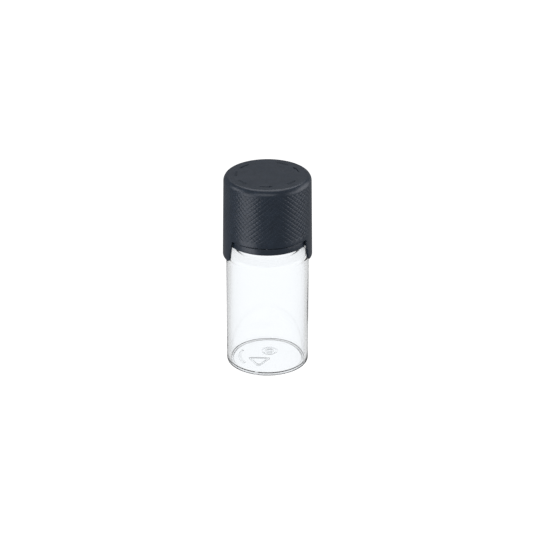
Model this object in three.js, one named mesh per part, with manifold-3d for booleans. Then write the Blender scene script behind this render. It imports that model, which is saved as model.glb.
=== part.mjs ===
// Straight-walled clear sample vial with a push-down-and-turn closure.
//
// Millimetres, +Z up, Z = 0 on the surface that the vial stands on, Z axis through the vial.
// From the inside out: a one-piece clear vial with a threaded neck, a foam liner on its lip, a threaded
// inner cap, a spring ring on top of that, and an outer shell with two tabs that reach down over the
// vial's shoulder. A tamper band is left behind under a bead on the neck.
import * as THREE from "three";
import { mergeVertices } from "three/addons/utils/BufferGeometryUtils.js";
import Module from "manifold-3d";

const wasm = await Module();
wasm.setup();

// ---- Driving dimensions -------------------------------------------------------------------------

const SEGMENTS = 60; // facets of every round surface
const ARC_STEPS = 4; // facets of a quarter round in a profile

// Vial
const BODY_R = 19.0;
const WALL = 1.7;
const HEEL_R = 0.5;
const STAND_RING_INNER_R = 16.6;
const PUSH_UP_R = 15.8;
const PUSH_UP_Z = 0.5;
const FLOOR_Z = 1.2;
const FLOOR_CORNER_R = 0.6;
const SHOULDER_Z = 53.4; // where the straight wall ends
const SHOULDER_R = 3.2;
const SHOULDER_SWEEP = 60; // degrees
const NECK_R = 14.9;
const NECK_BORE_R = 13.3;
const NECK_FILLET_R = 1.0;
const BEAD_R = 16.4;
const BEAD_Z = 64.6;
const BEAD_H = 1.4;
const LIP_Z = 84.8;
const LIP_CHAMFER = 0.3;

// Thread, right-handed, one start
const THREAD_PITCH = 25.4 / 6;
const THREAD_CREST_R = 16.15;
const THREAD_START_Z = 77.6;
const THREAD_TURNS = 1.25;
const THREAD_ROOT_HALF = 0.9;
const THREAD_CREST_HALF = 0.35;
const CAP_THREAD_CREST_R = 15.35;
const CAP_THREAD_SHIFT_Z = -1.62; // the cap's ridge bears on the underside of the vial's
const CAP_THREAD_LEAD = 0.15; // turns that the cap's ridge starts early

// Tamper band
const BAND_R = 18.9;
const BAND_Z = 61.4;
const BAND_TOP_Z = 64.6;
const BAND_INNER_R = 17.0;
const BAND_LIP_R = 15.7;
const BAND_EDGE_R = 0.8;

// Liner
const LINER_R = 16.2;
const LINER_Z = 85.1;
const LINER_TOP_Z = 86.3;

// Inner cap
const INNER_Z = 66.1;
const INNER_TOP_Z = 87.8;
const INNER_TOP_THICK = 1.2;
const INNER_BORE_R = 16.6;
const INNER_MOUTH_R = 16.9;
const INNER_LOWER_R = 17.85;
const INNER_UPPER_R = 18.45;
const INNER_STEP_Z = 69.4;

// Drive lugs between inner cap and shell
const LUG_COUNT = 12;
const LUG_SPAN = 12; // degrees
const LUG_INNER_R = 12.5;
const LUG_OUTER_R = 16.8;
const INNER_LUG_TOP_Z = 89.3;
const SHELL_LUG_Z = 89.7;

// Spring ring
const SPRING_INNER_R = 7.6;
const SPRING_OUTER_R = 10.6;
const SPRING_Z = 88.1;
const SPRING_TOP_Z = 91.8;
const SPRING_BASE_H = 0.8;
const SPRING_FINGERS = 6;
const SPRING_FINGER_SWEEP = 42; // degrees
const SPRING_FINGER_THICK = 0.7;

// Outer shell
const SHELL_TOP_Z = 93.3;
const SHELL_TOP_THICK = 1.2;
const SHELL_PANEL_R = 17.6;
const SHELL_EDGE_DROP = 0.1;
const SHELL_EDGE_R = 17.8;
const SHELL_SHOULDER_Z = 90.2;
const SHELL_SHOULDER_OUTER_R = 20.0;
const SHELL_SKIRT_Z = 65.5;
const SHELL_SKIRT_R = 20.38;
const SHELL_INNER_R = 19.4;
const SHELL_INNER_TOP_R = 18.9;
const SHELL_INNER_TOP_Z = 88.6;
const SHELL_ROOF_R = 16.9;
const SHELL_BEAD_R = 18.15;
const SHELL_BEAD_Z = 68.7;
const TAB_Z = 54.4;
const TAB_ROOT_HALF = 11.25;
const TAB_TIP_HALF = 9.35;
const TAB_CORNER_R = 2.0;
const TAB_ROOT_FILLET = 0.6;

// ---- Helpers ------------------------------------------------------------------------------------

const radians = THREE.MathUtils.degToRad;
const point = (r, z) => new THREE.Vector2(r, z);

// Points of a circular arc in the half plane of radius and height, ends included.
function arc(centreR, centreZ, radius, fromDegrees, toDegrees, steps = ARC_STEPS) {
  return Array.from({ length: steps + 1 }, (_, i) => {
    const angle = radians(fromDegrees + ((toDegrees - fromDegrees) * i) / steps);
    return point(centreR + radius * Math.cos(angle), centreZ + radius * Math.sin(angle));
  });
}

// A closed geometry as a manifold-3d solid.
function solid(geometry) {
  geometry.deleteAttribute("normal");
  geometry.deleteAttribute("uv");
  const merged = mergeVertices(geometry);
  return new wasm.Manifold(
    new wasm.Mesh({
      numProp: 3,
      vertProperties: new Float32Array(merged.getAttribute("position").array),
      triVerts: new Uint32Array(merged.index.array),
    }),
  );
}

// A profile of radius and height, turned round the Z axis.
function turned(profile) {
  return solid(new THREE.LatheGeometry(profile, SEGMENTS).rotateX(Math.PI / 2));
}

function mesh(name, shape, color, roughness, extra = {}) {
  const { vertProperties, triVerts } = shape.getMesh();
  const indexed = new THREE.BufferGeometry()
    .setAttribute("position", new THREE.BufferAttribute(vertProperties, 3))
    .setIndex(new THREE.BufferAttribute(triVerts, 1));
  const geometry = indexed.toNonIndexed();
  geometry.computeVertexNormals();
  const material = new THREE.MeshStandardMaterial({ color, roughness, metalness: 0, ...extra });
  const made = new THREE.Mesh(geometry, material);
  made.name = name;
  return made;
}

const joined = (shapes) => shapes.reduce((whole, next) => whole.add(next));

// A bar carried round the Z axis as it climbs. In its section X runs along the axis and Y outwards.
// fade(along) scales what stands proud of the radius, with along going from 0 to 1.
function climbingBar({ section, radius, startAngle, sweep, startZ, climb, steps, fade = () => 1 }) {
  const bar = new THREE.ExtrudeGeometry(section, { depth: 1, steps, bevelEnabled: false });
  const position = bar.getAttribute("position");
  for (let i = 0; i < position.count; i++) {
    const along = position.getZ(i);
    const angle = startAngle + along * sweep;
    const r = radius + position.getY(i) * fade(along);
    const z = startZ + along * climb + position.getX(i);
    position.setXYZ(i, r * Math.cos(angle), r * Math.sin(angle), z);
  }
  return solid(bar);
}

// One ridge of the thread. It stands from the wall towards the crest and fades into it at both ends.
function threadRidge({ wallR, crestR, shiftZ, fromTurn, toTurn }) {
  const height = crestR - wallR;
  const root = -0.25 * height; // the ridge is rooted inside the wall
  const section = new THREE.Shape([
    point(-THREAD_ROOT_HALF, root),
    point(THREAD_ROOT_HALF, root),
    point(THREAD_CREST_HALF, height),
    point(-THREAD_CREST_HALF, height),
  ]);
  const turns = toTurn - fromTurn;
  const stepsPerTurn = 40;
  const rampShare = 0.08 / turns;
  return climbingBar({
    section,
    radius: wallR - 0.1 * height,
    startAngle: fromTurn * 2 * Math.PI,
    sweep: turns * 2 * Math.PI,
    startZ: THREAD_START_Z + shiftZ + fromTurn * THREAD_PITCH,
    climb: turns * THREAD_PITCH,
    steps: Math.round(stepsPerTurn * turns),
    fade: (along) => THREE.MathUtils.clamp(Math.min(along, 1 - along) / rampShare, 0.05, 1.1),
  });
}

// A block between two radii, spanning an angle about its middle.
function sector(innerR, outerR, middleDegrees, spanDegrees, bottomZ, topZ) {
  const from = radians(middleDegrees - spanDegrees / 2);
  const to = radians(middleDegrees + spanDegrees / 2);
  const outline = new THREE.Shape();
  outline.absarc(0, 0, outerR, from, to, false);
  outline.absarc(0, 0, innerR, to, from, true);
  outline.closePath();
  const block = new THREE.ExtrudeGeometry(outline, {
    depth: topZ - bottomZ,
    bevelEnabled: false,
    curveSegments: 2,
  });
  return solid(block.translate(0, 0, bottomZ));
}

const lugRing = (offsetDegrees, bottomZ, topZ) =>
  Array.from({ length: LUG_COUNT }, (_, i) =>
    sector(LUG_INNER_R, LUG_OUTER_R, offsetDegrees + (i * 360) / LUG_COUNT, LUG_SPAN, bottomZ, topZ),
  );

// ---- Vial ---------------------------------------------------------------------------------------

function vialBody() {
  const shoulderCentreR = BODY_R - SHOULDER_R;
  const filletCentreR = NECK_R + NECK_FILLET_R;
  const slope = radians(SHOULDER_SWEEP);
  const shoulderEndR = shoulderCentreR + SHOULDER_R * Math.cos(slope);
  const shoulderEndZ = SHOULDER_Z + SHOULDER_R * Math.sin(slope);
  // The fillet's centre lies one fillet radius off the line that leaves the shoulder's round.
  const filletCentreZ =
    shoulderEndZ +
    (NECK_FILLET_R - (filletCentreR - shoulderEndR) * Math.cos(slope)) / Math.sin(slope);
  const filletStart = 180 + SHOULDER_SWEEP;
  const beadSlope = 0.4;
  const outside = [
    point(0, PUSH_UP_Z),
    point(PUSH_UP_R, PUSH_UP_Z),
    point(STAND_RING_INNER_R, 0),
    ...arc(BODY_R - HEEL_R, HEEL_R, HEEL_R, -90, 0, 3),
    ...arc(shoulderCentreR, SHOULDER_Z, SHOULDER_R, 0, SHOULDER_SWEEP),
    ...arc(filletCentreR, filletCentreZ, NECK_FILLET_R, filletStart, 180, 2),
    point(NECK_R, BEAD_Z),
    point(BEAD_R, BEAD_Z + beadSlope),
    point(BEAD_R, BEAD_Z + BEAD_H - beadSlope),
    point(NECK_R, BEAD_Z + BEAD_H),
    point(NECK_R, LIP_Z - LIP_CHAMFER),
    point(NECK_R - LIP_CHAMFER, LIP_Z),
  ];
  const innerR = BODY_R - WALL;
  const innerShoulderEndR = shoulderCentreR + (SHOULDER_R - WALL) * Math.cos(slope);
  const innerShoulderEndZ = SHOULDER_Z + (SHOULDER_R - WALL) * Math.sin(slope);
  const boreZ = innerShoulderEndZ + (innerShoulderEndR - NECK_BORE_R) / Math.tan(slope);
  const inside = [
    point(NECK_BORE_R + LIP_CHAMFER, LIP_Z),
    point(NECK_BORE_R, LIP_Z - LIP_CHAMFER),
    point(NECK_BORE_R, boreZ),
    ...arc(shoulderCentreR, SHOULDER_Z, SHOULDER_R - WALL, SHOULDER_SWEEP, 0, 3),
    ...arc(innerR - FLOOR_CORNER_R, FLOOR_Z + FLOOR_CORNER_R, FLOOR_CORNER_R, 0, -90, 3),
    point(0, FLOOR_Z),
  ];
  const thread = threadRidge({
    wallR: NECK_R,
    crestR: THREAD_CREST_R,
    shiftZ: 0,
    fromTurn: 0,
    toTurn: THREAD_TURNS,
  });
  return mesh("vial_body", turned([...outside, ...inside]).add(thread), 0xf4f8fb, 0.05, {
    transparent: true,
    opacity: 0.3,
  });
}

// ---- Tamper band --------------------------------------------------------------------------------

function tamperBand() {
  const profile = [
    point(BAND_INNER_R + 0.4, BAND_Z),
    ...arc(BAND_R - BAND_EDGE_R, BAND_Z + BAND_EDGE_R, BAND_EDGE_R, -90, 0, 3),
    point(BAND_R, BAND_TOP_Z - 0.2),
    point(BAND_R - 0.2, BAND_TOP_Z),
    point(BAND_INNER_R + 0.1, BAND_TOP_Z),
    point(BAND_INNER_R, BAND_TOP_Z - 0.7),
    point(BAND_LIP_R, BAND_TOP_Z - 0.9),
    point(BAND_LIP_R, BAND_TOP_Z - 1.5),
    point(BAND_INNER_R, BAND_Z + 0.8),
  ];
  return mesh("tamper_band", turned([...profile, profile[0]]), 0x31363d, 0.55);
}

// ---- Liner --------------------------------------------------------------------------------------

function liner() {
  const profile = [
    point(0, LINER_Z),
    point(LINER_R, LINER_Z),
    point(LINER_R, LINER_TOP_Z),
    point(0, LINER_TOP_Z),
  ];
  return mesh("liner", turned(profile), 0xf1f0ea, 0.9);
}

// ---- Inner cap ----------------------------------------------------------------------------------

function innerCap() {
  const roofZ = INNER_TOP_Z - INNER_TOP_THICK;
  const topChamfer = 0.8;
  const profile = [
    point(0, roofZ),
    point(INNER_BORE_R, roofZ),
    point(INNER_BORE_R, INNER_Z + 1.5),
    point(INNER_MOUTH_R, INNER_Z + 0.9),
    point(INNER_MOUTH_R, INNER_Z),
    point(INNER_LOWER_R, INNER_Z),
    point(INNER_LOWER_R, INNER_STEP_Z),
    point(INNER_UPPER_R, INNER_STEP_Z + 0.3),
    point(INNER_UPPER_R, INNER_TOP_Z - topChamfer),
    point(INNER_UPPER_R - topChamfer, INNER_TOP_Z),
    point(0, INNER_TOP_Z),
  ];
  const thread = threadRidge({
    wallR: INNER_BORE_R,
    crestR: CAP_THREAD_CREST_R,
    shiftZ: CAP_THREAD_SHIFT_Z,
    fromTurn: -CAP_THREAD_LEAD,
    toTurn: THREAD_TURNS,
  });
  const rooted = INNER_TOP_Z - INNER_TOP_THICK / 2;
  const lugs = lugRing(0, rooted, INNER_LUG_TOP_Z);
  return mesh("inner_cap", joined([turned(profile), thread, ...lugs]), 0x3a3f47, 0.5);
}

// ---- Spring ring --------------------------------------------------------------------------------

function springRing() {
  const baseTopZ = SPRING_Z + SPRING_BASE_H;
  const profile = [
    point(SPRING_INNER_R, SPRING_Z),
    point(SPRING_OUTER_R, SPRING_Z),
    point(SPRING_OUTER_R, baseTopZ),
    point(SPRING_INNER_R, baseTopZ),
    point(SPRING_INNER_R, SPRING_Z),
  ];
  const sideGap = 0.3; // the fingers are a little narrower than the ring
  const fingerStartZ = baseTopZ - SPRING_FINGER_THICK;
  const section = new THREE.Shape([
    point(0, SPRING_INNER_R + sideGap),
    point(SPRING_FINGER_THICK, SPRING_INNER_R + sideGap),
    point(SPRING_FINGER_THICK, SPRING_OUTER_R - sideGap),
    point(0, SPRING_OUTER_R - sideGap),
  ]);
  const fingers = Array.from({ length: SPRING_FINGERS }, (_, i) =>
    climbingBar({
      section,
      radius: 0,
      startAngle: (i * 2 * Math.PI) / SPRING_FINGERS,
      sweep: radians(SPRING_FINGER_SWEEP),
      startZ: fingerStartZ,
      climb: SPRING_TOP_Z - SPRING_FINGER_THICK - fingerStartZ,
      steps: 6,
    }),
  );
  return mesh("spring_ring", joined([turned(profile), ...fingers]), 0xe6e3da, 0.6);
}

// ---- Outer shell --------------------------------------------------------------------------------

// What is kept of the turned shell, seen along X: all above the skirt's edge, and a tapering tongue
// below it, whose ends are the two tabs.
function keptOutline() {
  const far = 2 * BODY_R;
  const top = SHELL_TOP_Z + 1;
  const taper = (TAB_ROOT_HALF - TAB_TIP_HALF) / (SHELL_SKIRT_Z - TAB_Z);
  const filletEnd = point(TAB_ROOT_HALF - TAB_ROOT_FILLET * taper, SHELL_SKIRT_Z - TAB_ROOT_FILLET);
  const cornerStart = point(TAB_TIP_HALF + TAB_CORNER_R * taper, TAB_Z + TAB_CORNER_R);
  const outline = new THREE.Shape();
  outline.moveTo(-far, top);
  outline.lineTo(-far, SHELL_SKIRT_Z);
  outline.lineTo(-TAB_ROOT_HALF - TAB_ROOT_FILLET, SHELL_SKIRT_Z);
  outline.quadraticCurveTo(-TAB_ROOT_HALF, SHELL_SKIRT_Z, -filletEnd.x, filletEnd.y);
  outline.lineTo(-cornerStart.x, cornerStart.y);
  outline.quadraticCurveTo(-TAB_TIP_HALF, TAB_Z, TAB_CORNER_R - TAB_TIP_HALF, TAB_Z);
  outline.lineTo(TAB_TIP_HALF - TAB_CORNER_R, TAB_Z);
  outline.quadraticCurveTo(TAB_TIP_HALF, TAB_Z, cornerStart.x, cornerStart.y);
  outline.lineTo(filletEnd.x, filletEnd.y);
  outline.quadraticCurveTo(TAB_ROOT_HALF, SHELL_SKIRT_Z, TAB_ROOT_HALF + TAB_ROOT_FILLET, SHELL_SKIRT_Z);
  outline.lineTo(far, SHELL_SKIRT_Z);
  outline.lineTo(far, top);
  return outline;
}

// Sets a shape drawn in Y and Z, and extruded, along X.
function alongX(shape, length) {
  const block = new THREE.ExtrudeGeometry(shape, {
    depth: length,
    bevelEnabled: false,
    curveSegments: ARC_STEPS,
  });
  const turn = new THREE.Matrix4().makeBasis(
    new THREE.Vector3(0, 1, 0),
    new THREE.Vector3(0, 0, 1),
    new THREE.Vector3(1, 0, 0),
  );
  return solid(block.applyMatrix4(turn).translate(-length / 2, 0, 0));
}

// Points of the shell's shoulder, a quarter of an ellipse from the panel's edge down to the side.
function shoulderArc(edgeR, edgeZ, sideR, sideZ) {
  return Array.from({ length: ARC_STEPS + 1 }, (_, i) => {
    const angle = (i * Math.PI) / 2 / ARC_STEPS;
    return point(
      edgeR + (sideR - edgeR) * Math.sin(angle),
      sideZ + (edgeZ - sideZ) * Math.cos(angle),
    );
  });
}

function outerCap() {
  const roofZ = SHELL_TOP_Z - SHELL_TOP_THICK;
  const edgeZ = SHELL_TOP_Z - SHELL_EDGE_DROP;
  const draft = (SHELL_SKIRT_R - SHELL_SHOULDER_OUTER_R) / (SHELL_SHOULDER_Z - SHELL_SKIRT_Z);
  const tabR = SHELL_SKIRT_R + draft * (SHELL_SKIRT_Z - TAB_Z);
  const beadRise = 0.3;
  const profile = [
    point(0, roofZ),
    ...shoulderArc(SHELL_ROOF_R, roofZ, SHELL_INNER_TOP_R, SHELL_INNER_TOP_Z),
    point(SHELL_INNER_R, SHELL_BEAD_Z + 4 * beadRise),
    point(SHELL_BEAD_R, SHELL_BEAD_Z + 2 * beadRise),
    point(SHELL_BEAD_R, SHELL_BEAD_Z + beadRise),
    point(SHELL_INNER_R, SHELL_BEAD_Z - beadRise),
    point(SHELL_INNER_R, TAB_Z),
    point(tabR, TAB_Z),
    ...shoulderArc(SHELL_EDGE_R, edgeZ, SHELL_SHOULDER_OUTER_R, SHELL_SHOULDER_Z).reverse(),
    point(SHELL_PANEL_R, SHELL_TOP_Z),
    point(0, SHELL_TOP_Z),
  ];
  const shell = turned(profile).intersect(alongX(keptOutline(), 4 * BODY_R));
  const rooted = SHELL_TOP_Z - SHELL_TOP_THICK / 2;
  const lugs = lugRing(180 / LUG_COUNT, SHELL_LUG_Z, rooted);
  return mesh("outer_cap", joined([shell, ...lugs]), 0x2f3640, 0.55);
}

// ---- Assembly -----------------------------------------------------------------------------------

const vial = new THREE.Group();
vial.add(vialBody(), tamperBand());

const closure = new THREE.Group();
closure.add(liner(), innerCap(), springRing(), outerCap());

export default new THREE.Group().add(vial, closure);
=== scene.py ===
"""The looks of a clear sample vial with a push-down-and-turn closure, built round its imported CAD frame.

Profiles are in millimetres, as (radius, height) about the vial's axis. Blender objects are in metres.
"""

import math

import bmesh
import bpy
import numpy as np
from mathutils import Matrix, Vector
from mathutils.geometry import delaunay_2d_cdt


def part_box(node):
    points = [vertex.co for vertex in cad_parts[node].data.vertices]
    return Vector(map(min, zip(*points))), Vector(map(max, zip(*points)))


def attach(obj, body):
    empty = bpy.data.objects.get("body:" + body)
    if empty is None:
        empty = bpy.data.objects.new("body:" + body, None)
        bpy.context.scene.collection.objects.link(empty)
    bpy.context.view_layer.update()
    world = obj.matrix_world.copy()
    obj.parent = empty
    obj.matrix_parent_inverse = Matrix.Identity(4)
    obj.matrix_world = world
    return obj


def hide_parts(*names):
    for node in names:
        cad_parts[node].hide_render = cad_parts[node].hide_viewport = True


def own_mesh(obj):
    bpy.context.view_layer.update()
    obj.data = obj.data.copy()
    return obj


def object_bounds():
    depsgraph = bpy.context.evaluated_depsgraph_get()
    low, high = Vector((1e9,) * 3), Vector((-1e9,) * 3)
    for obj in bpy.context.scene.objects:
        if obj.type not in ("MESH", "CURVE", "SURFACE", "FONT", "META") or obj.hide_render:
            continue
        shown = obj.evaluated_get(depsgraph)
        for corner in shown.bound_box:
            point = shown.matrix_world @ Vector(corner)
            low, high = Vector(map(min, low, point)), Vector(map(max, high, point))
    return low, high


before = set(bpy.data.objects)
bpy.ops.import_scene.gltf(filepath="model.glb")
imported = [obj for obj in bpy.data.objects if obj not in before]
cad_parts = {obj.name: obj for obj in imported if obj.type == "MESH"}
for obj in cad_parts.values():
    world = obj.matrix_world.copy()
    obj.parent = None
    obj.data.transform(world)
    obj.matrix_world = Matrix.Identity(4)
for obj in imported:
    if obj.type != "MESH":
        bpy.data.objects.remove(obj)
cad_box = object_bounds()

MM = 0.001
TURN = 2 * math.pi


# ---- Sizes in millimetres, from the frame's boxes and a few driving dimensions ------------------

def box_mm(node):
    """Half width, lowest and highest point of a CAD node, in millimetres."""
    low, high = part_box(node)
    return high[0] / MM, low[2] / MM, high[2] / MM


BODY_R, _, LIP_Z = box_mm("vial_body")
BAND_R, BAND_Z, BAND_TOP_Z = box_mm("tamper_band")
LINER_R, LINER_Z, LINER_TOP_Z = box_mm("liner")
INNER_R, INNER_Z, INNER_LUG_TOP_Z = box_mm("inner_cap")
SPRING_R, SPRING_Z, SPRING_TOP_Z = box_mm("spring_ring")
TAB_R, TAB_Z, TOP_Z = box_mm("outer_cap")

WALL = 1.7
WALL_WAVES = ((0.03, 2, 0.10, 0), (0.02, 3, -0.13, 1.1))  # height, lobes, twist per mm and phase
HEEL_R = 0.5
STAND_RING_INNER_R = 16.6
PUSH_UP_R = 15.8
PUSH_UP_Z = 0.5
FLOOR_Z = 1.2
FLOOR_CORNER_R = 0.6
SHOULDER_Z = 53.4
SHOULDER_R = 3.2
SHOULDER_SWEEP = 60  # degrees
SHOULDER_SLOPE = math.radians(SHOULDER_SWEEP)
SHOULDER_CENTRE_R = BODY_R - SHOULDER_R
NECK_R = 14.9
NECK_BORE_R = 13.3
NECK_FILLET_R = 1.0
LIP_ROUND = 0.4
BEAD_R = 16.4
BEAD_Z = 64.6
BEAD_H = 1.4
BEAD_FLANK = 0.45

PITCH = 25.4 / 6  # six turns to the inch
THREAD_START_Z = 77.6
THREAD_TURNS = 1.25
THREAD_FADE_TURNS = 0.07
THREAD_ROOT_HALF = 0.9  # half the ridge's height at its root
THREAD_CREST_HALF = 0.35
THREAD_CREST_R = 16.15
CAP_THREAD_CREST_R = 15.35
CAP_THREAD_SHIFT_Z = -1.62
CAP_THREAD_LEAD_TURNS = 0.15

INNER_TOP_Z = 87.8
INNER_ROOF_Z = 86.6
INNER_BORE_R = 16.6
INNER_MOUTH_R = 16.9
INNER_LOWER_R = 17.85
INNER_STEP_Z = 69.4

LUGS = 12
LUG_SPAN = math.radians(12)
LUG_RADII = (12.5, 16.8)
LUG_BEVEL = 0.18
SHELL_LUG_Z = 89.7

SPRING_BORE_R = 7.6
SPRING_BASE_H = 0.8
FINGERS = 6
FINGER_SWEEP = math.radians(42)
FINGER_H = 0.7
FINGER_INSET = 0.3

SKIRT_Z = 65.5
SKIRT_R = 20.38
SHELL_WALL = 0.98
SHELL_ROOF_Z = 92.1
SHELL_ROOF_R = 16.9
SHELL_INNER_TOP_R = 18.9
SHELL_INNER_TOP_Z = 88.6
SHELL_BEAD_R = 18.15
SHELL_BEAD_Z = 69.0
PANEL_R = 17.6
DRAFT = (TAB_R - SKIRT_R) / (SKIRT_Z - TAB_Z)
TAB_ROOT_WIDTH = 22.5
TAB_TIP_WIDTH = 18.7
TAB_ROOT_HALF = SKIRT_R * math.asin(TAB_ROOT_WIDTH / 2 / SKIRT_R)  # round the skirt
TAB_TIP_HALF = SKIRT_R * math.asin(TAB_TIP_WIDTH / 2 / TAB_R)
TAB_CORNER_R = 2.0
TAB_ROOT_FILLET = 0.6
EDGE_ROUND = 0.22

BASE_MARK_DEPTH = 0.5
BASE_RING = (1.2, 4.6)
BASE_RING_RADII = (3.9, 3.6, 3.3, 3.0, 2.2, 1.9, 1.6, 1.3, 1.0, 0.6)
BASE_TRIANGLE = (-4.2, -5.0)
BASE_TRIANGLE_RADII = (6.6, 6.1, 5.6, 5.1, 4.6, 4.1)
BASE_TRIANGLE_TURN = 0.4  # radians
BASE_BARS = dict(middle=182, count=11, radius=13.0, length=1.5, width=0.45, pitch=1.3)

MARK_R = 14.3  # the circle that the marks on the top lie along
MARK_DEPTH = 0.28
ARROWS = (-95, 20, 136)  # degrees
ARROW_SPAN = 25  # degrees
ARROW_HALF_WIDTH = 0.3
ARROW_HEAD = 2.1  # its length
ARROW_HEAD_WIDENING = 2.6  # times the half width
BAR_GROUPS = (-146, -44, 58, 172)
TOP_BARS = dict(count=7, radius=MARK_R, length=1.2, width=0.24, pitch=0.8)

DIAMONDS = 48  # round the shell
DIAMOND_ROWS = 10
DIAMOND_H = 2.25
KNURL_Z = 67.95
GROOVE_DEPTH = 0.055
CELL = (0, 0.07, 0.36, 0.64, 0.93)  # where the mesh has points across a diamond, groove to groove
KNURL_TOP_Z = KNURL_Z + DIAMOND_ROWS * DIAMOND_H


# ---- Colours, stage, light and camera -----------------------------------------------------------

SLATE = (0.0155, 0.0225, 0.033)
SPRING_CREAM = (0.62, 0.60, 0.54)
CLEAR_TINTS = ((0.955, 0.970, 0.985), (0.965, 0.978, 0.990))
POLYESTER_IOR = 1.57
FOAM_TINTS = ((0.76, 0.76, 0.73), (0.88, 0.88, 0.85))

CENTRE = Vector((0, 0, (cad_box[0][2] + cad_box[1][2]) / 2))  # metres
FLOOR_RADIUS = 6.0  # metres
FLOOR_GAP = 0.0002  # metres, under the vial
WHITE = (1, 1, 1, 1)
FLOOR_SEEN = 1.12  # brightness to the camera
FLOOR_LIT = 0.75  # brightness to reflections and soft light
WORLD_SEEN = 1.03
WORLD_LIT = 0.26
TRAPPED = 0.9  # brightness of both to reflections inside clear plastic

COOL_WHITE = (0.93, 0.94, 1.0)
SOFTBOX_DISTANCE = 1.0  # metres
SOFTBOXES = (  # name, azimuth and elevation in degrees, (width, height) in metres, radiance
    ("overhead_softbox", 80, 66, (0.85, 0.8), 2.75),
    ("right_low_softbox", -16, 2, (0.8, 0.7), 2.4),
    ("right_softbox", 14, 14, (0.6, 0.8), 2.5),
    ("left_low_softbox", -146, -10, (0.7, 0.85), 2.8),
    ("left_fill", 180, 20, (0.5, 0.5), 3.4),
    ("front_fill", -100, 24, (0.8, 0.55), 2.6),
)

SENSOR_WIDTH = 36.0
LENS = 131.15
CAMERA_DISTANCE = 0.8995  # metres
CAMERA_AZIMUTH = -3.5  # degrees, from -Y
CAMERA_ELEVATION = 25.73  # degrees


# ---- Mesh building ------------------------------------------------------------------------------

WELD_DISTANCE = 1e-6  # metres
SPECK_LENGTH = 1e-7
SHARP_ANGLE = math.radians(50)
BEVEL_ANGLE = math.radians(30)
INSIDE_OUTLINES = 1  # which triangles delaunay_2d_cdt keeps
SAME_POINT = 1e-5


def arc(centre_r, centre_z, radius, start, end, steps):
    """Points of a circular arc, from start to end degrees."""
    angles = np.radians(np.linspace(start, end, steps + 1))
    return [(centre_r + radius * math.cos(a), centre_z + radius * math.sin(a)) for a in angles]


def ellipse_quarter(top, side, steps):
    """A quarter of an ellipse from a level start at top down to an upright end at side."""
    angles = np.linspace(0, math.pi / 2, steps + 1)
    return [
        (top[0] + (side[0] - top[0]) * math.sin(a), side[1] + (top[1] - side[1]) * math.cos(a))
        for a in angles
    ]


def fillet(before, corner, after, radius, steps):
    """Points of the arc that rounds a corner of a path."""
    before, corner, after = (np.array(p, float) for p in (before, corner, after))
    into = (corner - before) / np.linalg.norm(corner - before)
    out = (after - corner) / np.linalg.norm(after - corner)
    bend = math.acos(float(np.clip(into @ out, -1, 1)))
    side = math.copysign(1, into[0] * out[1] - into[1] * out[0])
    start = corner - into * radius * math.tan(bend / 2)
    centre = start + side * radius * np.array([-into[1], into[0]])
    spoke = start - centre
    points = []
    for turn in np.linspace(0, side * bend, steps + 1):
        cos, sin = math.cos(turn), math.sin(turn)
        points.append(tuple(centre + (spoke[0] * cos - spoke[1] * sin, spoke[0] * sin + spoke[1] * cos)))
    return points


def smooth_step(x):
    """An S from 0 to 1 as x goes from 0 to 1."""
    x = np.clip(x, 0, 1)
    return x * x * (3 - 2 * x)


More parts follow.
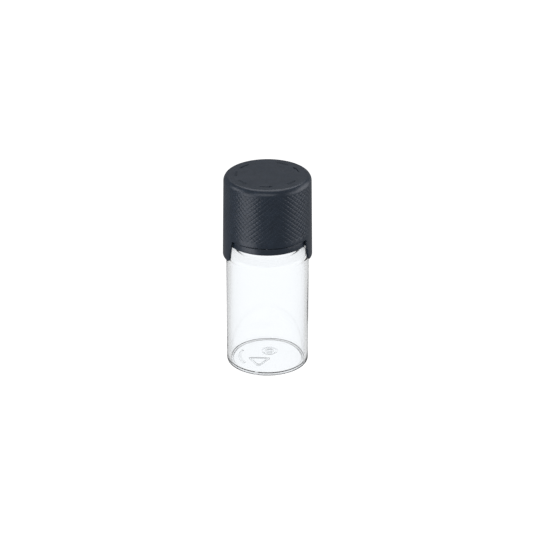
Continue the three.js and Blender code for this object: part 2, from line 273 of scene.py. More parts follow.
class Shape:
    """The vertices and faces of one piece."""

    def __init__(self, columns):
        self.columns = columns
        self.angles = TURN * np.arange(columns) / columns
        self.points = []
        self.faces = []

    def ring(self, radius, height):
        """A ring of vertices about the axis. Radius and height may differ from column to column."""
        first = len(self.points)
        radius, height = (np.broadcast_to(v, self.angles.shape) for v in (radius, height))
        ring = np.stack([radius * np.cos(self.angles), radius * np.sin(self.angles), height], axis=1)
        self.points.extend(ring.tolist())
        return list(range(first, first + self.columns))

    def skin(self, rings, closed=False):
        """Faces between neighbouring rings."""
        for one, two in zip(rings, rings[1:] + (rings[:1] if closed else [])):
            for i in range(self.columns):
                j = (i + 1) % self.columns
                self.faces.append((one[i], one[j], two[j], two[i]))

    def turned(self, profile, closed=False):
        """The surface that a profile of (radius, height) points makes about the axis."""
        rings = [self.ring(r, z) for r, z in profile]
        self.skin(rings, closed)
        return rings

    def disc(self, ring, marks=(), rise=0.0):
        """A flat disc inside a ring. Each mark, an outline of (x, y) points, rises by rise out of it. An
        outline inside another is a hole in it."""
        outlines = [[self.points[i][:2] for i in ring], *marks]
        flat = [Vector(p) for outline in outlines for p in outline]
        loops, first = [], 0
        for outline in outlines:
            loops.append(list(range(first, first + len(outline))))
            first += len(outline)
        coords, _, triangles, origins, _, owners = delaunay_2d_cdt(
            flat, [], loops, INSIDE_OUTLINES, SAME_POINT
        )
        height = self.points[ring[0]][2]
        index = []
        for coord, origin in zip(coords, origins):
            if origin and origin[0] < len(ring):
                index.append(ring[origin[0]])
            else:
                index.append(len(self.points))
                self.points.append([coord[0], coord[1], height])
        raised, edges = {}, {}
        for triangle, owner in zip(triangles, owners):
            if sum(o > 0 for o in owner) % 2 == 0:
                self.faces.append(tuple(index[i] for i in triangle))
                continue
            for i in triangle:
                if i not in raised:
                    raised[i] = len(self.points)
                    self.points.append([coords[i][0], coords[i][1], height + rise])
            self.faces.append(tuple(raised[i] for i in triangle))
            for a, b in zip(triangle, triangle[1:] + triangle[:1]):
                if (b, a) in edges:
                    del edges[(b, a)]
                else:
                    edges[(a, b)] = True
        for a, b in edges:
            self.faces.append((index[a], index[b], raised[b], raised[a]))

    def made(self, name, material, body, slot, node, extras=()):
        """The Blender object, riding on a body and standing for a CAD node."""
        mesh = bpy.data.meshes.new(name)
        mesh.from_pydata([[c * MM for c in p] for p in self.points], [], self.faces)
        bm = bmesh.new()
        bm.from_mesh(mesh)
        bmesh.ops.remove_doubles(bm, verts=bm.verts, dist=WELD_DISTANCE)
        bmesh.ops.dissolve_degenerate(bm, edges=bm.edges, dist=SPECK_LENGTH)
        for extra in extras:
            bm.from_mesh(extra)
            bpy.data.meshes.remove(extra)
        bmesh.ops.recalc_face_normals(bm, faces=bm.faces)
        bm.to_mesh(mesh)
        bm.free()
        mesh.shade_smooth()
        mesh.set_sharp_from_angle(angle=SHARP_ANGLE)
        piece = bpy.data.objects.new(name, mesh)
        bpy.context.scene.collection.objects.link(piece)
        mesh.materials.append(material)
        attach(piece, body)
        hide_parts(node)
        return piece


def rounded_block(outline, bottom, top, bevel):
    """A mesh of an extruded outline of (x, y) points with rounded edges, in metres."""
    bm = bmesh.new()
    base = bm.faces.new([bm.verts.new((x * MM, y * MM, bottom * MM)) for x, y in outline])
    lifted = bmesh.ops.extrude_face_region(bm, geom=[base])
    moved = [v for v in lifted["geom"] if isinstance(v, bmesh.types.BMVert)]
    bmesh.ops.translate(bm, verts=moved, vec=(0, 0, (top - bottom) * MM))
    bmesh.ops.recalc_face_normals(bm, faces=bm.faces)
    sharp = [e for e in bm.edges if e.calc_face_angle(0) > BEVEL_ANGLE]
    bmesh.ops.bevel(bm, geom=sharp, offset=bevel * MM, segments=3, profile=0.5, affect="EDGES")
    mesh = bpy.data.meshes.new("block")
    bm.to_mesh(mesh)
    bm.free()
    return mesh


def sector(radii, middle, span, steps=6):
    """The outline of a block between two radii."""
    angles = np.linspace(middle - span / 2, middle + span / 2, steps + 1)
    outer = [(radii[1] * math.cos(a), radii[1] * math.sin(a)) for a in angles]
    return outer + [(radii[0] * math.cos(a), radii[0] * math.sin(a)) for a in angles[::-1]]


def lug_ring(offset, bottom, top):
    """Meshes of the drive lugs, evenly round the axis from offset radians."""
    return [
        rounded_block(sector(LUG_RADII, offset + i * TURN / LUGS, LUG_SPAN), bottom, top, LUG_BEVEL)
        for i in range(LUGS)
    ]


def thread_height(angles, z, shift, from_turn, to_turn):
    """How far the ridge of the thread stands out at each angle, from 0 to 1."""
    height = np.zeros_like(angles)
    for whole in range(math.floor(from_turn), math.ceil(to_turn)):
        turn = angles / TURN + whole
        gap = np.abs(z - THREAD_START_Z - shift - PITCH * turn)
        ridge = (THREAD_ROOT_HALF - gap) / (THREAD_ROOT_HALF - THREAD_CREST_HALF)
        ends = np.minimum(turn - from_turn, to_turn - turn) / THREAD_FADE_TURNS
        height = np.maximum(height, smooth_step(ridge) * smooth_step(ends))
    return height


# ---- Materials ----------------------------------------------------------------------------------

def new_material(name):
    material = bpy.data.materials.new(name)
    material.use_nodes = True
    nodes, links = material.node_tree.nodes, material.node_tree.links
    return material, nodes, links, nodes["Principled BSDF"]


def noise(nodes, links, scale, detail, roughness=0.5):
    """A noise texture fixed to the object, with scale features to the metre."""
    place = nodes.new("ShaderNodeTexCoord")
    texture = nodes.new("ShaderNodeTexNoise")
    texture.inputs["Scale"].default_value = scale
    texture.inputs["Detail"].default_value = detail
    texture.inputs["Roughness"].default_value = roughness
    links.new(place.outputs["Object"], texture.inputs["Vector"])
    return texture.outputs["Fac"]


def ramp(nodes, links, source, low, high, start=0.3, end=0.7):
    """A source between 0 and 1 spread between two colours, or two values."""
    made = nodes.new("ShaderNodeValToRGB")
    stops = made.color_ramp.elements
    for stop, place, value in zip(stops, (start, end), (low, high)):
        stop.position = place
        stop.color = (*value, 1) if isinstance(value, tuple) else (value, value, value, 1)
    links.new(source, made.inputs["Fac"])
    return made.outputs["Color"]


def bump(nodes, links, height, depth_mm, normal=None):
    made = nodes.new("ShaderNodeBump")
    made.inputs["Distance"].default_value = depth_mm * MM
    links.new(height, made.inputs["Height"])
    if normal is not None:
        links.new(normal, made.inputs["Normal"])
    return made.outputs["Normal"]


def matt_plastic(name, color, roughness, specular, grain_depth):
    """Moulded plastic with a spark-eroded grain, faint flow marks and a little handling polish."""
    material, nodes, links, shader = new_material(name)
    darkest, lightest, polish = 0.86, 1.16, 0.05
    darker = tuple(c * darkest for c in color)
    lighter = tuple(c * lightest for c in color)
    mottle = noise(nodes, links, scale=420, detail=6)
    links.new(ramp(nodes, links, mottle, darker, lighter), shader.inputs["Base Color"])
    rub = noise(nodes, links, scale=160, detail=3)
    rubbed = ramp(nodes, links, rub, roughness - polish, roughness + polish)
    links.new(rubbed, shader.inputs["Roughness"])
    shader.inputs["Specular IOR Level"].default_value = specular
    flow = bump(nodes, links, noise(nodes, links, scale=300, detail=2), depth_mm=0.02)
    grain = bump(nodes, links, noise(nodes, links, scale=5200, detail=2), grain_depth, flow)
    links.new(grain, shader.inputs["Normal"])
    return material


def clear_plastic(name):
    """Blow-moulded clear polyester: glossy, faintly blue, with a slow ripple in its surface."""
    material, nodes, links, shader = new_material(name)
    tint = noise(nodes, links, scale=60, detail=2)
    links.new(ramp(nodes, links, tint, *CLEAR_TINTS), shader.inputs["Base Color"])
    haze = noise(nodes, links, scale=240, detail=4)
    links.new(ramp(nodes, links, haze, low=0.015, high=0.035), shader.inputs["Roughness"])
    shader.inputs["Transmission Weight"].default_value = 1.0
    shader.inputs["IOR"].default_value = POLYESTER_IOR
    ripple = bump(nodes, links, noise(nodes, links, scale=90, detail=2), depth_mm=0.02)
    links.new(ripple, shader.inputs["Normal"])
    return material


def foam(name):
    """Closed-cell foam under a thin smooth skin."""
    material, nodes, links, shader = new_material(name)
    cells = nodes.new("ShaderNodeTexVoronoi")
    cells.inputs["Scale"].default_value = 2600
    place = nodes.new("ShaderNodeTexCoord")
    links.new(place.outputs["Object"], cells.inputs["Vector"])
    walls = cells.outputs["Distance"]
    links.new(ramp(nodes, links, walls, *FOAM_TINTS), shader.inputs["Base Color"])
    skin = noise(nodes, links, scale=900, detail=3)
    links.new(ramp(nodes, links, skin, low=0.6, high=0.85), shader.inputs["Roughness"])
    links.new(bump(nodes, links, walls, depth_mm=0.05), shader.inputs["Normal"])
    return material


# ---- Vial ---------------------------------------------------------------------------------------

def wall_wave(angles, z):
    """How the blow-moulded wall's thickness varies, in millimetres."""
    return sum(
        height * np.sin(lobes * angles + twist * z + phase) for height, lobes, twist, phase in WALL_WAVES
    )


def shoulder_end(radius):
    """The neck end of a shoulder arc of this radius."""
    return (
        SHOULDER_CENTRE_R + radius * math.cos(SHOULDER_SLOPE),
        SHOULDER_Z + radius * math.sin(SHOULDER_SLOPE),
    )


def body_outside():
    """The vial's outside, from the underside of its floor to the foot of the neck."""
    end_r, end_z = shoulder_end(SHOULDER_R)
    fillet_r = NECK_R + NECK_FILLET_R
    drop = (fillet_r - end_r) * math.cos(SHOULDER_SLOPE)
    fillet_z = end_z + (NECK_FILLET_R - drop) / math.sin(SHOULDER_SLOPE)
    push_up_flank = [
        (PUSH_UP_R + (STAND_RING_INNER_R - PUSH_UP_R) * t, PUSH_UP_Z * float(1 - smooth_step(t)))
        for t in np.linspace(0, 1, 13)
    ]
    return [
        (PUSH_UP_R - 0.5, PUSH_UP_Z),
        *push_up_flank,
        *arc(BODY_R - HEEL_R, HEEL_R, HEEL_R, -90, 0, 10),
        *[(BODY_R, z) for z in np.linspace(4 * HEEL_R, SHOULDER_Z - 0.5, 24)],
        *arc(SHOULDER_CENTRE_R, SHOULDER_Z, SHOULDER_R, 0, SHOULDER_SWEEP, 16),
        *arc(fillet_r, fillet_z, NECK_FILLET_R, 180 + SHOULDER_SWEEP, 180, 10),
    ]


def body_inside():
    """The vial's inside, from the bore of the neck to the floor."""
    inner_r, shoulder_r = BODY_R - WALL, SHOULDER_R - WALL
    end_r, end_z = shoulder_end(shoulder_r)
    bore_z = end_z + (end_r - NECK_BORE_R) / math.tan(SHOULDER_SLOPE)
    bore_corner_r = 0.35
    bore_foot_z = bore_z + 1
    return [
        *[(NECK_BORE_R, z) for z in np.linspace(LIP_Z - 1.5, bore_foot_z, 12)],
        *fillet((NECK_BORE_R, bore_foot_z), (NECK_BORE_R, bore_z), (end_r, end_z), bore_corner_r, 6),
        *arc(SHOULDER_CENTRE_R, SHOULDER_Z, shoulder_r, SHOULDER_SWEEP, 0, 10),
        *[(inner_r, z) for z in np.linspace(SHOULDER_Z - 0.7, FLOOR_Z + 2.1, 64)],
        *arc(inner_r - FLOOR_CORNER_R, FLOOR_Z + FLOOR_CORNER_R, FLOOR_CORNER_R, 0, -90, 12),
    ]


def vial_body(material):
    shape = Shape(288)
    outside = body_outside()
    rings = [shape.ring(r, z) for r, z in outside]
    base_ring = rings[0]
    for z in np.linspace(outside[-1][1] + 0.2, LIP_Z - LIP_ROUND, 132):
        bead = smooth_step((BEAD_H / 2 - abs(z - BEAD_Z - BEAD_H / 2)) / BEAD_FLANK)
        ridge = thread_height(shape.angles, z, 0, 0, THREAD_TURNS)
        radius = NECK_R + (BEAD_R - NECK_R) * bead + (THREAD_CREST_R - NECK_R) * ridge
        rings.append(shape.ring(radius, z))
    lip = [
        *arc(NECK_R - LIP_ROUND, LIP_Z - LIP_ROUND, LIP_ROUND, 0, 90, 6)[1:],
        *arc(NECK_BORE_R + LIP_ROUND, LIP_Z - LIP_ROUND, LIP_ROUND, 90, 180, 6),
    ]
    rings += [shape.ring(r, z) for r, z in lip]
    wave_from, wave_to, wave_fade = FLOOR_Z + 2, SHOULDER_Z, 4
    for r, z in body_inside():
        share = float(smooth_step((z - wave_from) / wave_fade) * smooth_step((wave_to - z) / wave_fade))
        rings.append(shape.ring(r + share * wall_wave(shape.angles, z), z))
    shape.skin(rings)
    marks = [circle(*BASE_RING, r) for r in BASE_RING_RADII]
    marks += [rounded_triangle(*BASE_TRIANGLE, r, r / 6, BASE_TRIANGLE_TURN) for r in BASE_TRIANGLE_RADII]
    marks += bars(**BASE_BARS)
    shape.disc(base_ring, marks, BASE_MARK_DEPTH)
    shape.disc(rings[-1])
    return shape.made("vial", material, "vial", "clear_vial", "vial_body")


# ---- Tamper band --------------------------------------------------------------------------------

def tamper_band(material):
    shape = Shape(288)
    inner_r, lip_r = 17.0, 15.7
    lower_edge, upper_edge, inner_edge, lip_edge = 0.5, 0.22, 0.2, 0.15
    lip_top_z, lip_low_z = BAND_TOP_Z - 1.05, BAND_TOP_Z - 1.35
    profile = [
        (inner_r + 0.4, BAND_Z),
        *arc(BAND_R - lower_edge, BAND_Z + lower_edge, lower_edge, -90, 0, 10),
        *arc(BAND_R - upper_edge, BAND_TOP_Z - upper_edge, upper_edge, 0, 90, 5),
        *arc(inner_r + inner_edge, BAND_TOP_Z - inner_edge, inner_edge, 90, 180, 4),
        (inner_r, BAND_TOP_Z - 0.7),
        *arc(lip_r + lip_edge, lip_top_z, lip_edge, 90, 180, 3),
        *arc(lip_r + lip_edge, lip_low_z, lip_edge, 180, 270, 3),
        (inner_r, BAND_Z + 0.9),
    ]
    shape.turned(profile, closed=True)
    return shape.made("tamper_ring", material, "band", "band_plastic", "tamper_band")


# ---- Liner --------------------------------------------------------------------------------------

def liner(material):
    shape = Shape(192)
    round_r, flat_r = 0.12, LINER_R - 1.0
    rings = shape.turned([
        (flat_r, LINER_Z),
        *arc(LINER_R - round_r, LINER_Z + round_r, round_r, -90, 0, 4),
        *arc(LINER_R - round_r, LINER_TOP_Z - round_r, round_r, 0, 90, 4),
        (flat_r, LINER_TOP_Z),
    ])
    shape.disc(rings[0])
    shape.disc(rings[-1])
    return shape.made("foam_liner", material, "seal_carriage", "liner_foam", "liner")


# ---- Inner cap ----------------------------------------------------------------------------------

def inner_cap(material):
    shape = Shape(288)
    top_edge, edge, roof_corner, lug_root = 0.8, 0.15, 0.2, 0.4
    outside = [
        (INNER_R - 1.4, INNER_TOP_Z),
        *arc(INNER_R - top_edge, INNER_TOP_Z - top_edge, top_edge, 90, 0, 8),
        *arc(INNER_R - edge, INNER_STEP_Z + 3 * edge, edge, 0, -60, 3),
        (INNER_LOWER_R, INNER_STEP_Z),
        *arc(INNER_LOWER_R - edge, INNER_Z + edge, edge, 0, -90, 3),
        *arc(INNER_MOUTH_R + edge, INNER_Z + edge, edge, -90, -180, 3),
        (INNER_MOUTH_R, INNER_Z + 0.9),
    ]
    rings = [shape.ring(r, z) for r, z in outside]
    for z in np.linspace(INNER_Z + 1.5, INNER_ROOF_Z - 3.1, 96):
        ridge = thread_height(
            shape.angles, z, CAP_THREAD_SHIFT_Z, -CAP_THREAD_LEAD_TURNS, THREAD_TURNS
        )
        rings.append(shape.ring(INNER_BORE_R - (INNER_BORE_R - CAP_THREAD_CREST_R) * ridge, z))
    corner = arc(INNER_BORE_R - roof_corner, INNER_ROOF_Z - roof_corner, roof_corner, 0, 90, 4)
    rings += [shape.ring(r, z) for r, z in corner]
    rings.append(shape.ring(INNER_BORE_R - 0.6, INNER_ROOF_Z))
    shape.skin(rings)
    shape.disc(rings[0])
    shape.disc(rings[-1])
    lugs = lug_ring(0, INNER_TOP_Z - lug_root, INNER_LUG_TOP_Z)
    return shape.made("threaded_cap", material, "inner_closure", "inner_plastic", "inner_cap", lugs)


# ---- Spring ring --------------------------------------------------------------------------------

def finger_climb(along):
    """How far up a finger has climbed at a share of its length, from 0 to 1. It slopes at both ends."""
    trim = 0.075
    low, high = smooth_step(trim), smooth_step(1 - trim)
    return float((smooth_step(trim + along * (1 - 2 * trim)) - low) / (high - low))


def spring_ring(material):
    """A flat ring with flexible fingers that climb from it, round the axis."""
    shape = Shape(144)
    base_top_z, bevel = SPRING_Z + SPRING_BASE_H, 0.15
    profile = [
        *arc(SPRING_BORE_R + bevel, SPRING_Z + bevel, bevel, 270, 180, 3),
        *arc(SPRING_BORE_R + bevel, base_top_z - bevel, bevel, 180, 90, 3),
        *arc(SPRING_R - bevel, base_top_z - bevel, bevel, 90, 0, 3),
        *arc(SPRING_R - bevel, SPRING_Z + bevel, bevel, 360, 270, 3),
    ]
    shape.turned(profile, closed=True)
    inner_r, outer_r = SPRING_BORE_R + FINGER_INSET, SPRING_R - FINGER_INSET
    section = ((inner_r, 0), (inner_r, FINGER_H), (outer_r, FINGER_H), (outer_r, 0))
    root_z, climb, steps = base_top_z - FINGER_H, SPRING_TOP_Z - base_top_z, 28
    for finger in range(FINGERS):
        first = len(shape.points)
        for step in range(steps + 1):
            along = step / steps
            angle = finger * TURN / FINGERS + along * FINGER_SWEEP
            for r, up in section:
                z = root_z + climb * finger_climb(along) + up
                shape.points.append([r * math.cos(angle), r * math.sin(angle), z])
        for step in range(steps):
            here, there = first + 4 * step, first + 4 * (step + 1)
            for i in range(4):
                j = (i + 1) % 4
                shape.faces.append((here + i, here + j, there + j, there + i))
        shape.faces.append(tuple(first + i for i in range(4)))
        shape.faces.append(tuple(first + 4 * steps + i for i in range(4)))
    piece = shape.made("finger_spring", material, "spring_carriage", "spring_plastic", "spring_ring")
    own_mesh(piece)
    return piece


# ---- Outer shell --------------------------------------------------------------------------------

def shell_radius(z):
    """The shell's outer radius without its knurl. It widens downwards by its draft."""
    return SKIRT_R + DRAFT * (SKIRT_Z - z)


def add_knurl(shape):
    """The knurled skin: diamonds with V grooves between them, on a lattice whose two directions follow
    the grooves. It is plain along its lower and upper edges."""
    steps = len(CELL)
    around, rows = DIAMONDS * steps, 2 * DIAMOND_ROWS * steps
    lattice = []
    for rise in range(rows + 1):
        first = len(shape.points)
        lattice.append([first + i % around for i in range(around + 1)])
        for one in range(around):
            two = one - rise
            u, v = (n // steps + CELL[n % steps] for n in (one, two))
            angle, z = TURN / DIAMONDS * (u + v) / 2, KNURL_Z + DIAMOND_H * (u - v) / 2
            grooved = 0 < rise < rows and (one % steps == 0 or two % steps == 0)
            r = shell_radius(z) - GROOVE_DEPTH * grooved
            shape.points.append([r * math.cos(angle), r * math.sin(angle), z])
    for rise in range(rows + 1):
        for one in range(around):
            here, across = lattice[rise][one], lattice[rise][one + 1]
            up = lattice[rise + 1][one + 1] if rise < rows else None
            down = lattice[rise - 1][one] if rise > 0 else None
            if {one % steps, (one - rise) % steps} == {0, steps - 1}:
                shape.faces += [(here, up, down), (up, across, down)]
            else:
                shape.faces += [(here, across, tip) for tip in (up, down) if tip is not None]


def rounded_path(corners, spacing):
    """A path through corners of (x, y, radius), each rounded by its own arc, with its points apart by
    spacing."""
    path = [corners[0][:2]]
    for before, here, after in zip(corners, corners[1:], corners[2:]):
        path += fillet(before[:2], here[:2], after[:2], here[2], 10)
    path.append(corners[-1][:2])
    dense = [path[0]]
    for a, b in zip(path, path[1:]):
        pieces = max(1, math.ceil(math.dist(a, b) / spacing))
        dense += [tuple(np.array(a) + (np.array(b) - a) * i / pieces) for i in range(1, pieces + 1)]
    return np.array(dense)


def skirt_edge():
    """The shell's lower edge unrolled, as points of (distance round the skirt, height) and the
    direction into the plastic at each. It starts and ends midway between the tabs."""
    half_turn = math.pi * SKIRT_R
    corners = [(-half_turn / 2, SKIRT_Z, 0)]
    for middle in (0, half_turn):
        corners += [
            (middle - TAB_ROOT_HALF, SKIRT_Z, TAB_ROOT_FILLET),
            (middle - TAB_TIP_HALF, TAB_Z, TAB_CORNER_R),
            (middle + TAB_TIP_HALF, TAB_Z, TAB_CORNER_R),
            (middle + TAB_ROOT_HALF, SKIRT_Z, TAB_ROOT_FILLET),
        ]
    corners.append((1.5 * half_turn, SKIRT_Z, 0))
    path = rounded_path(corners, spacing=0.3)
    along = np.gradient(path, axis=0)
    along /= np.linalg.norm(along, axis=1)[:, None]
    inward = np.stack([-along[:, 1], along[:, 0]], axis=1)
    inward[[0, -1]] = (0, 1)
    return path, inward


def unrolled_patch(edge, top_z, angles):
    """Triangles between the skirt's edge and a ring at top_z with points at these angles, unrolled."""
    top = [(SKIRT_R * a, top_z) for a in [*angles, angles[0] + TURN]][::-1]
    outline = [tuple(p) for p in edge] + top
    step_x, step_z, lowest, margin, clearance = 0.8, 0.9, 0.6, 0.4, 0.35
    inside = []
    for z in np.arange(TAB_Z + lowest, top_z - margin, step_z):
        for x in np.arange(edge[0][0] + margin, edge[-1][0], step_x):
            if np.min(np.hypot(edge[:, 0] - x, edge[:, 1] - z)) > clearance and above(edge, x, z):
                inside.append((x, z))
    flat = [Vector(p) for p in outline + inside]
    loop = list(range(len(outline)))
    coords, _, triangles, _, _, _ = delaunay_2d_cdt(flat, [], [loop], INSIDE_OUTLINES, SAME_POINT)
    return coords, triangles


def above(edge, x, z):
    """Whether a point is inside the plastic, above the skirt's edge."""
    one, two = edge[:-1], edge[1:]
    spans = (np.minimum(one[:, 0], two[:, 0]) <= x) & (np.maximum(one[:, 0], two[:, 0]) > x)
    share = (x - one[spans, 0]) / (two[spans, 0] - one[spans, 0])
    heights = one[spans, 1] + share * (two[spans, 1] - one[spans, 1])
    return bool(np.sum(heights < z) % 2)


def add_rolled(shape, coords, radius_of, triangles=()):
    """Rolls unrolled points up round the axis and returns their indices."""
    first = len(shape.points)
    for x, z in coords:
        angle, r = x / SKIRT_R, radius_of(z)
        shape.points.append([r * math.cos(angle), r * math.sin(angle), z])
    shape.faces += [tuple(first + i for i in triangle) for triangle in triangles]
    return list(range(first, len(shape.points)))


def skirt_and_tabs(shape):
    """The plain band below the knurl, and the tabs, outside and inside, joined round the edge."""
    edge, inward = skirt_edge()
    coords, triangles = unrolled_patch(edge + EDGE_ROUND * inward, KNURL_Z, shape.angles)
    add_rolled(shape, coords, shell_radius, triangles)
    add_rolled(shape, coords, lambda z: SKIRT_R - SHELL_WALL, triangles)
    strips = []
    fading = EDGE_ROUND * (1 - np.sin(np.linspace(0, math.pi / 2, 6)))
    for into, down in zip(fading, fading[::-1]):
        strips.append((into, lambda z, down=down: shell_radius(z) - down))
    for into, out in zip(fading[::-1], fading):
        strips.append((into, lambda z, out=out: SKIRT_R - SHELL_WALL + out))
    rows = [add_rolled(shape, edge + into * inward, radius_of) for into, radius_of in strips]
    for one, two in zip(rows, rows[1:]):
        shape.faces += [
            (one[i], one[i + 1], two[i + 1], two[i]) for i in range(len(edge) - 1)
        ]


def circle(x, y, radius, steps=48):
    """The outline of a circle about a point."""
    angles = TURN * np.arange(steps) / steps
    return [(x + radius * math.cos(a), y + radius * math.sin(a)) for a in angles]


def rounded_triangle(x, y, radius, corner, turn, steps=6):
    """An equilateral triangle about a point, with corners that radius away before they are rounded."""
    tips = [
        (x + radius * math.cos(turn + i * TURN / 3), y + radius * math.sin(turn + i * TURN / 3))
        for i in range(3)
    ]
    return [p for i in range(3) for p in fillet(tips[i - 1], tips[i], tips[(i + 1) % 3], corner, steps)]


def bars(middle, count, radius, length, width, pitch):
    """A row of short radial bars along an arc about middle degrees, in place of small print."""
    outlines = []
    for i in range(count):
        angle = math.radians(middle) + (i - (count - 1) / 2) * pitch / radius
        along, across = length / 2, width / 2
        cos, sin = math.cos(angle), math.sin(angle)
        outlines.append([
            ((radius + a) * cos - b * sin, (radius + a) * sin + b * cos)
            for a, b in ((-along, -across), (along, -across), (along, across), (-along, across))
        ])
    return outlines


def arrow(middle, span, radius, half_width):
    """A curved arrow that points counter-clockwise, over span radians about middle."""
    head = ARROW_HEAD / radius
    wide = ARROW_HEAD_WIDENING * half_width
    tail = np.linspace(middle - span / 2, middle + span / 2 - head, 16)
    tip = middle + span / 2
    outline = [(radius + half_width, a) for a in tail]
    outline += [(radius + wide, tail[-1]), (radius, tip), (radius - wide, tail[-1])]
    outline += [(radius - half_width, a) for a in tail[::-1]]
    return [(r * math.cos(a), r * math.sin(a)) for r, a in outline]


def outer_cap(material):
    shape = Shape(DIAMONDS * len(CELL))
    cells = np.arange(DIAMONDS) - DIAMONDS // 4
    shape.angles = TURN / DIAMONDS * (cells[:, None] + np.array(CELL)).ravel()
    skirt_and_tabs(shape)
    add_knurl(shape)
    side = (shell_radius(KNURL_TOP_Z), KNURL_TOP_Z)
    shoulder = ellipse_quarter((PANEL_R, TOP_Z), side, 18)[::-1]
    rings = [shape.ring(r, z) for r, z in [*shoulder, (PANEL_R - 0.25, TOP_Z)]]
    shape.skin(rings)
    span = math.radians(ARROW_SPAN)
    marks = [arrow(math.radians(m), span, MARK_R, ARROW_HALF_WIDTH) for m in ARROWS]
    for middle in BAR_GROUPS:
        marks += bars(middle, **TOP_BARS)
    shape.disc(rings[-1], marks, -MARK_DEPTH)
    inner_r, bead_tip = SKIRT_R - SHELL_WALL, 0.25
    inside = [
        (inner_r, KNURL_Z),
        (inner_r, SHELL_BEAD_Z - 0.7),
        *arc(SHELL_BEAD_R + bead_tip, SHELL_BEAD_Z, bead_tip, 250, 110, 6),
        (inner_r, SHELL_BEAD_Z + 0.9),
        *ellipse_quarter((SHELL_ROOF_R, SHELL_ROOF_Z), (SHELL_INNER_TOP_R, SHELL_INNER_TOP_Z), 10)[::-1],
        (SHELL_ROOF_R - 0.5, SHELL_ROOF_Z),
    ]
    inner_rings = shape.turned(inside)
    shape.disc(inner_rings[-1])
    lugs = lug_ring(math.pi / LUGS, SHELL_LUG_Z, SHELL_ROOF_Z + 0.5)
    return shape.made("knurled_shell", material, "outer_closure", "closure_plastic", "outer_cap", lugs)


# ---- Stage, light and camera --------------------------------------------------------------------

def seen_or_lit(nodes, links, seen, lit, trapped):
    """One brightness for what the camera sees, directly or straight through clear plastic, one for what
    reflections and soft light see, and one for reflections inside the clear plastic."""
    path = nodes.new("ShaderNodeLightPath")
    bounced = nodes.new("ShaderNodeMath")
    bounced.operation = "ADD"
    bounced.use_clamp = True
    links.new(path.outputs["Glossy Depth"], bounced.inputs[0])
    links.new(path.outputs["Diffuse Depth"], bounced.inputs[1])
    reflected = nodes.new("ShaderNodeMapRange")
    reflected.inputs["To Min"].default_value = lit
    reflected.inputs["To Max"].default_value = trapped
    links.new(path.outputs["Transmission Depth"], reflected.inputs["Value"])
    pick = nodes.new("ShaderNodeMapRange")
    pick.inputs["To Min"].default_value = seen
    links.new(reflected.outputs["Result"], pick.inputs["To Max"])
    links.new(bounced.outputs["Value"], pick.inputs["Value"])
    return pick.outputs["Result"]


def floor():
    """A plain pale floor, bright enough to lose its edge in the backdrop."""
    mesh = bpy.data.meshes.new("studio_floor")
    bm = bmesh.new()
    bmesh.ops.create_circle(bm, cap_ends=True, segments=96, radius=FLOOR_RADIUS)
    bm.to_mesh(mesh)
    bm.free()
    made = bpy.data.objects.new("studio_floor", mesh)
    made.location.z = -FLOOR_GAP
    bpy.context.scene.collection.objects.link(made)
    material = bpy.data.materials.new("floor_white")
    material.use_nodes = True
    nodes, links = material.node_tree.nodes, material.node_tree.links
    nodes.clear()
    glow = nodes.new("ShaderNodeEmission")
    glow.inputs["Color"].default_value = WHITE
    links.new(seen_or_lit(nodes, links, FLOOR_SEEN, FLOOR_LIT, TRAPPED), glow.inputs["Strength"])
    output = nodes.new("ShaderNodeOutputMaterial")
    links.new(glow.outputs["Emission"], output.inputs["Surface"])
    mesh.materials.append(material)
    made.visible_diffuse = False
    made.visible_glossy = False
    made.visible_shadow = False


def backdrop():
    """An even white world."""
    world = bpy.data.worlds.new("studio")
    bpy.context.scene.world = world
    world.use_nodes = True
    nodes, links = world.node_tree.nodes, world.node_tree.links
    background = nodes["Background"]
    background.inputs["Color"].default_value = WHITE
    links.new(seen_or_lit(nodes, links, WORLD_SEEN, WORLD_LIT, TRAPPED), background.inputs["Strength"])


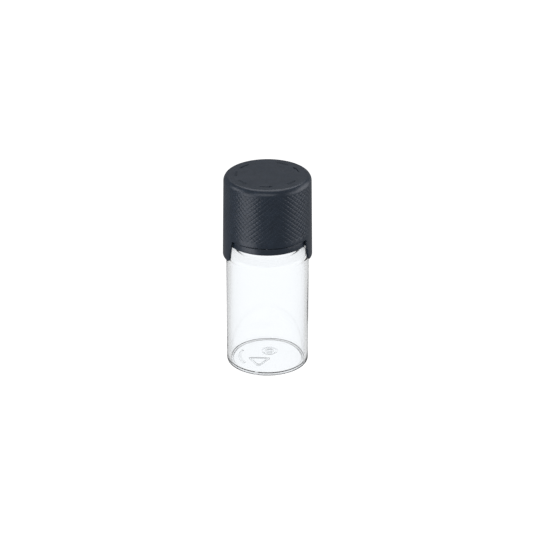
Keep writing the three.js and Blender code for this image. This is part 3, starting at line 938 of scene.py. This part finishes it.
def softbox(name, azimuth, elevation, size, radiance):
    """A rectangular light that faces the object. Azimuth is in degrees from +X, counter-clockwise."""
    data = bpy.data.lights.new(name, "AREA")
    data.shape = "RECTANGLE"
    data.size, data.size_y = size
    data.energy = radiance * size[0] * size[1] * math.pi
    data.color = COOL_WHITE
    light = bpy.data.objects.new(name, data)
    a, e = math.radians(azimuth), math.radians(elevation)
    out = Vector((math.cos(a) * math.cos(e), math.sin(a) * math.cos(e), math.sin(e)))
    light.location = CENTRE + out * SOFTBOX_DISTANCE
    light.rotation_mode = "QUATERNION"
    light.rotation_quaternion = (-out).to_track_quat("-Z", "Y")
    light.visible_camera = False
    light.visible_transmission = False
    bpy.context.scene.collection.objects.link(light)
    return light


def camera():
    """The camera, at the photograph's angle and distance."""
    data = bpy.data.cameras.new("camera")
    data.sensor_width = SENSOR_WIDTH
    data.lens = LENS
    made = bpy.data.objects.new("camera", data)
    a, e = math.radians(CAMERA_AZIMUTH), math.radians(CAMERA_ELEVATION)
    back = Vector((math.sin(a) * math.cos(e), -math.cos(a) * math.cos(e), math.sin(e)))
    made.location = CENTRE + back * CAMERA_DISTANCE
    made.rotation_mode = "QUATERNION"
    made.rotation_quaternion = (-back).to_track_quat("-Z", "Y")
    bpy.context.scene.collection.objects.link(made)
    bpy.context.scene.camera = made


# ---- The scene ----------------------------------------------------------------------------------

camera()
floor()
backdrop()
lights = [softbox(*row) for row in SOFTBOXES]

shell_plastic = matt_plastic(
    "shell_matt_plastic", SLATE, roughness=0.33, specular=0.35, grain_depth=0.008
)
band_plastic = matt_plastic(
    "band_satin_plastic", SLATE, roughness=0.32, specular=0.35, grain_depth=0.005
)
inner_plastic = matt_plastic(
    "inner_satin_plastic", tuple(1.3 * c for c in SLATE), roughness=0.4, specular=0.4, grain_depth=0.006
)
spring_plastic = matt_plastic(
    "spring_natural_plastic", SPRING_CREAM, roughness=0.45, specular=0.5, grain_depth=0.006
)

vial_body(clear_plastic("clear_polyester"))
matt_pieces = bpy.data.collections.new("matt_pieces")
for piece in (
    tamper_band(band_plastic),
    liner(foam("liner_foam_skin")),
    inner_cap(inner_plastic),
    spring_ring(spring_plastic),
    outer_cap(shell_plastic),
):
    matt_pieces.objects.link(piece)
for light in lights:  # kept off the clear vial, which takes its light from the stage
    light.light_linking.receiver_collection = matt_pieces

bpy.context.scene.view_settings.view_transform = "Standard"
bpy.context.view_layer.update()
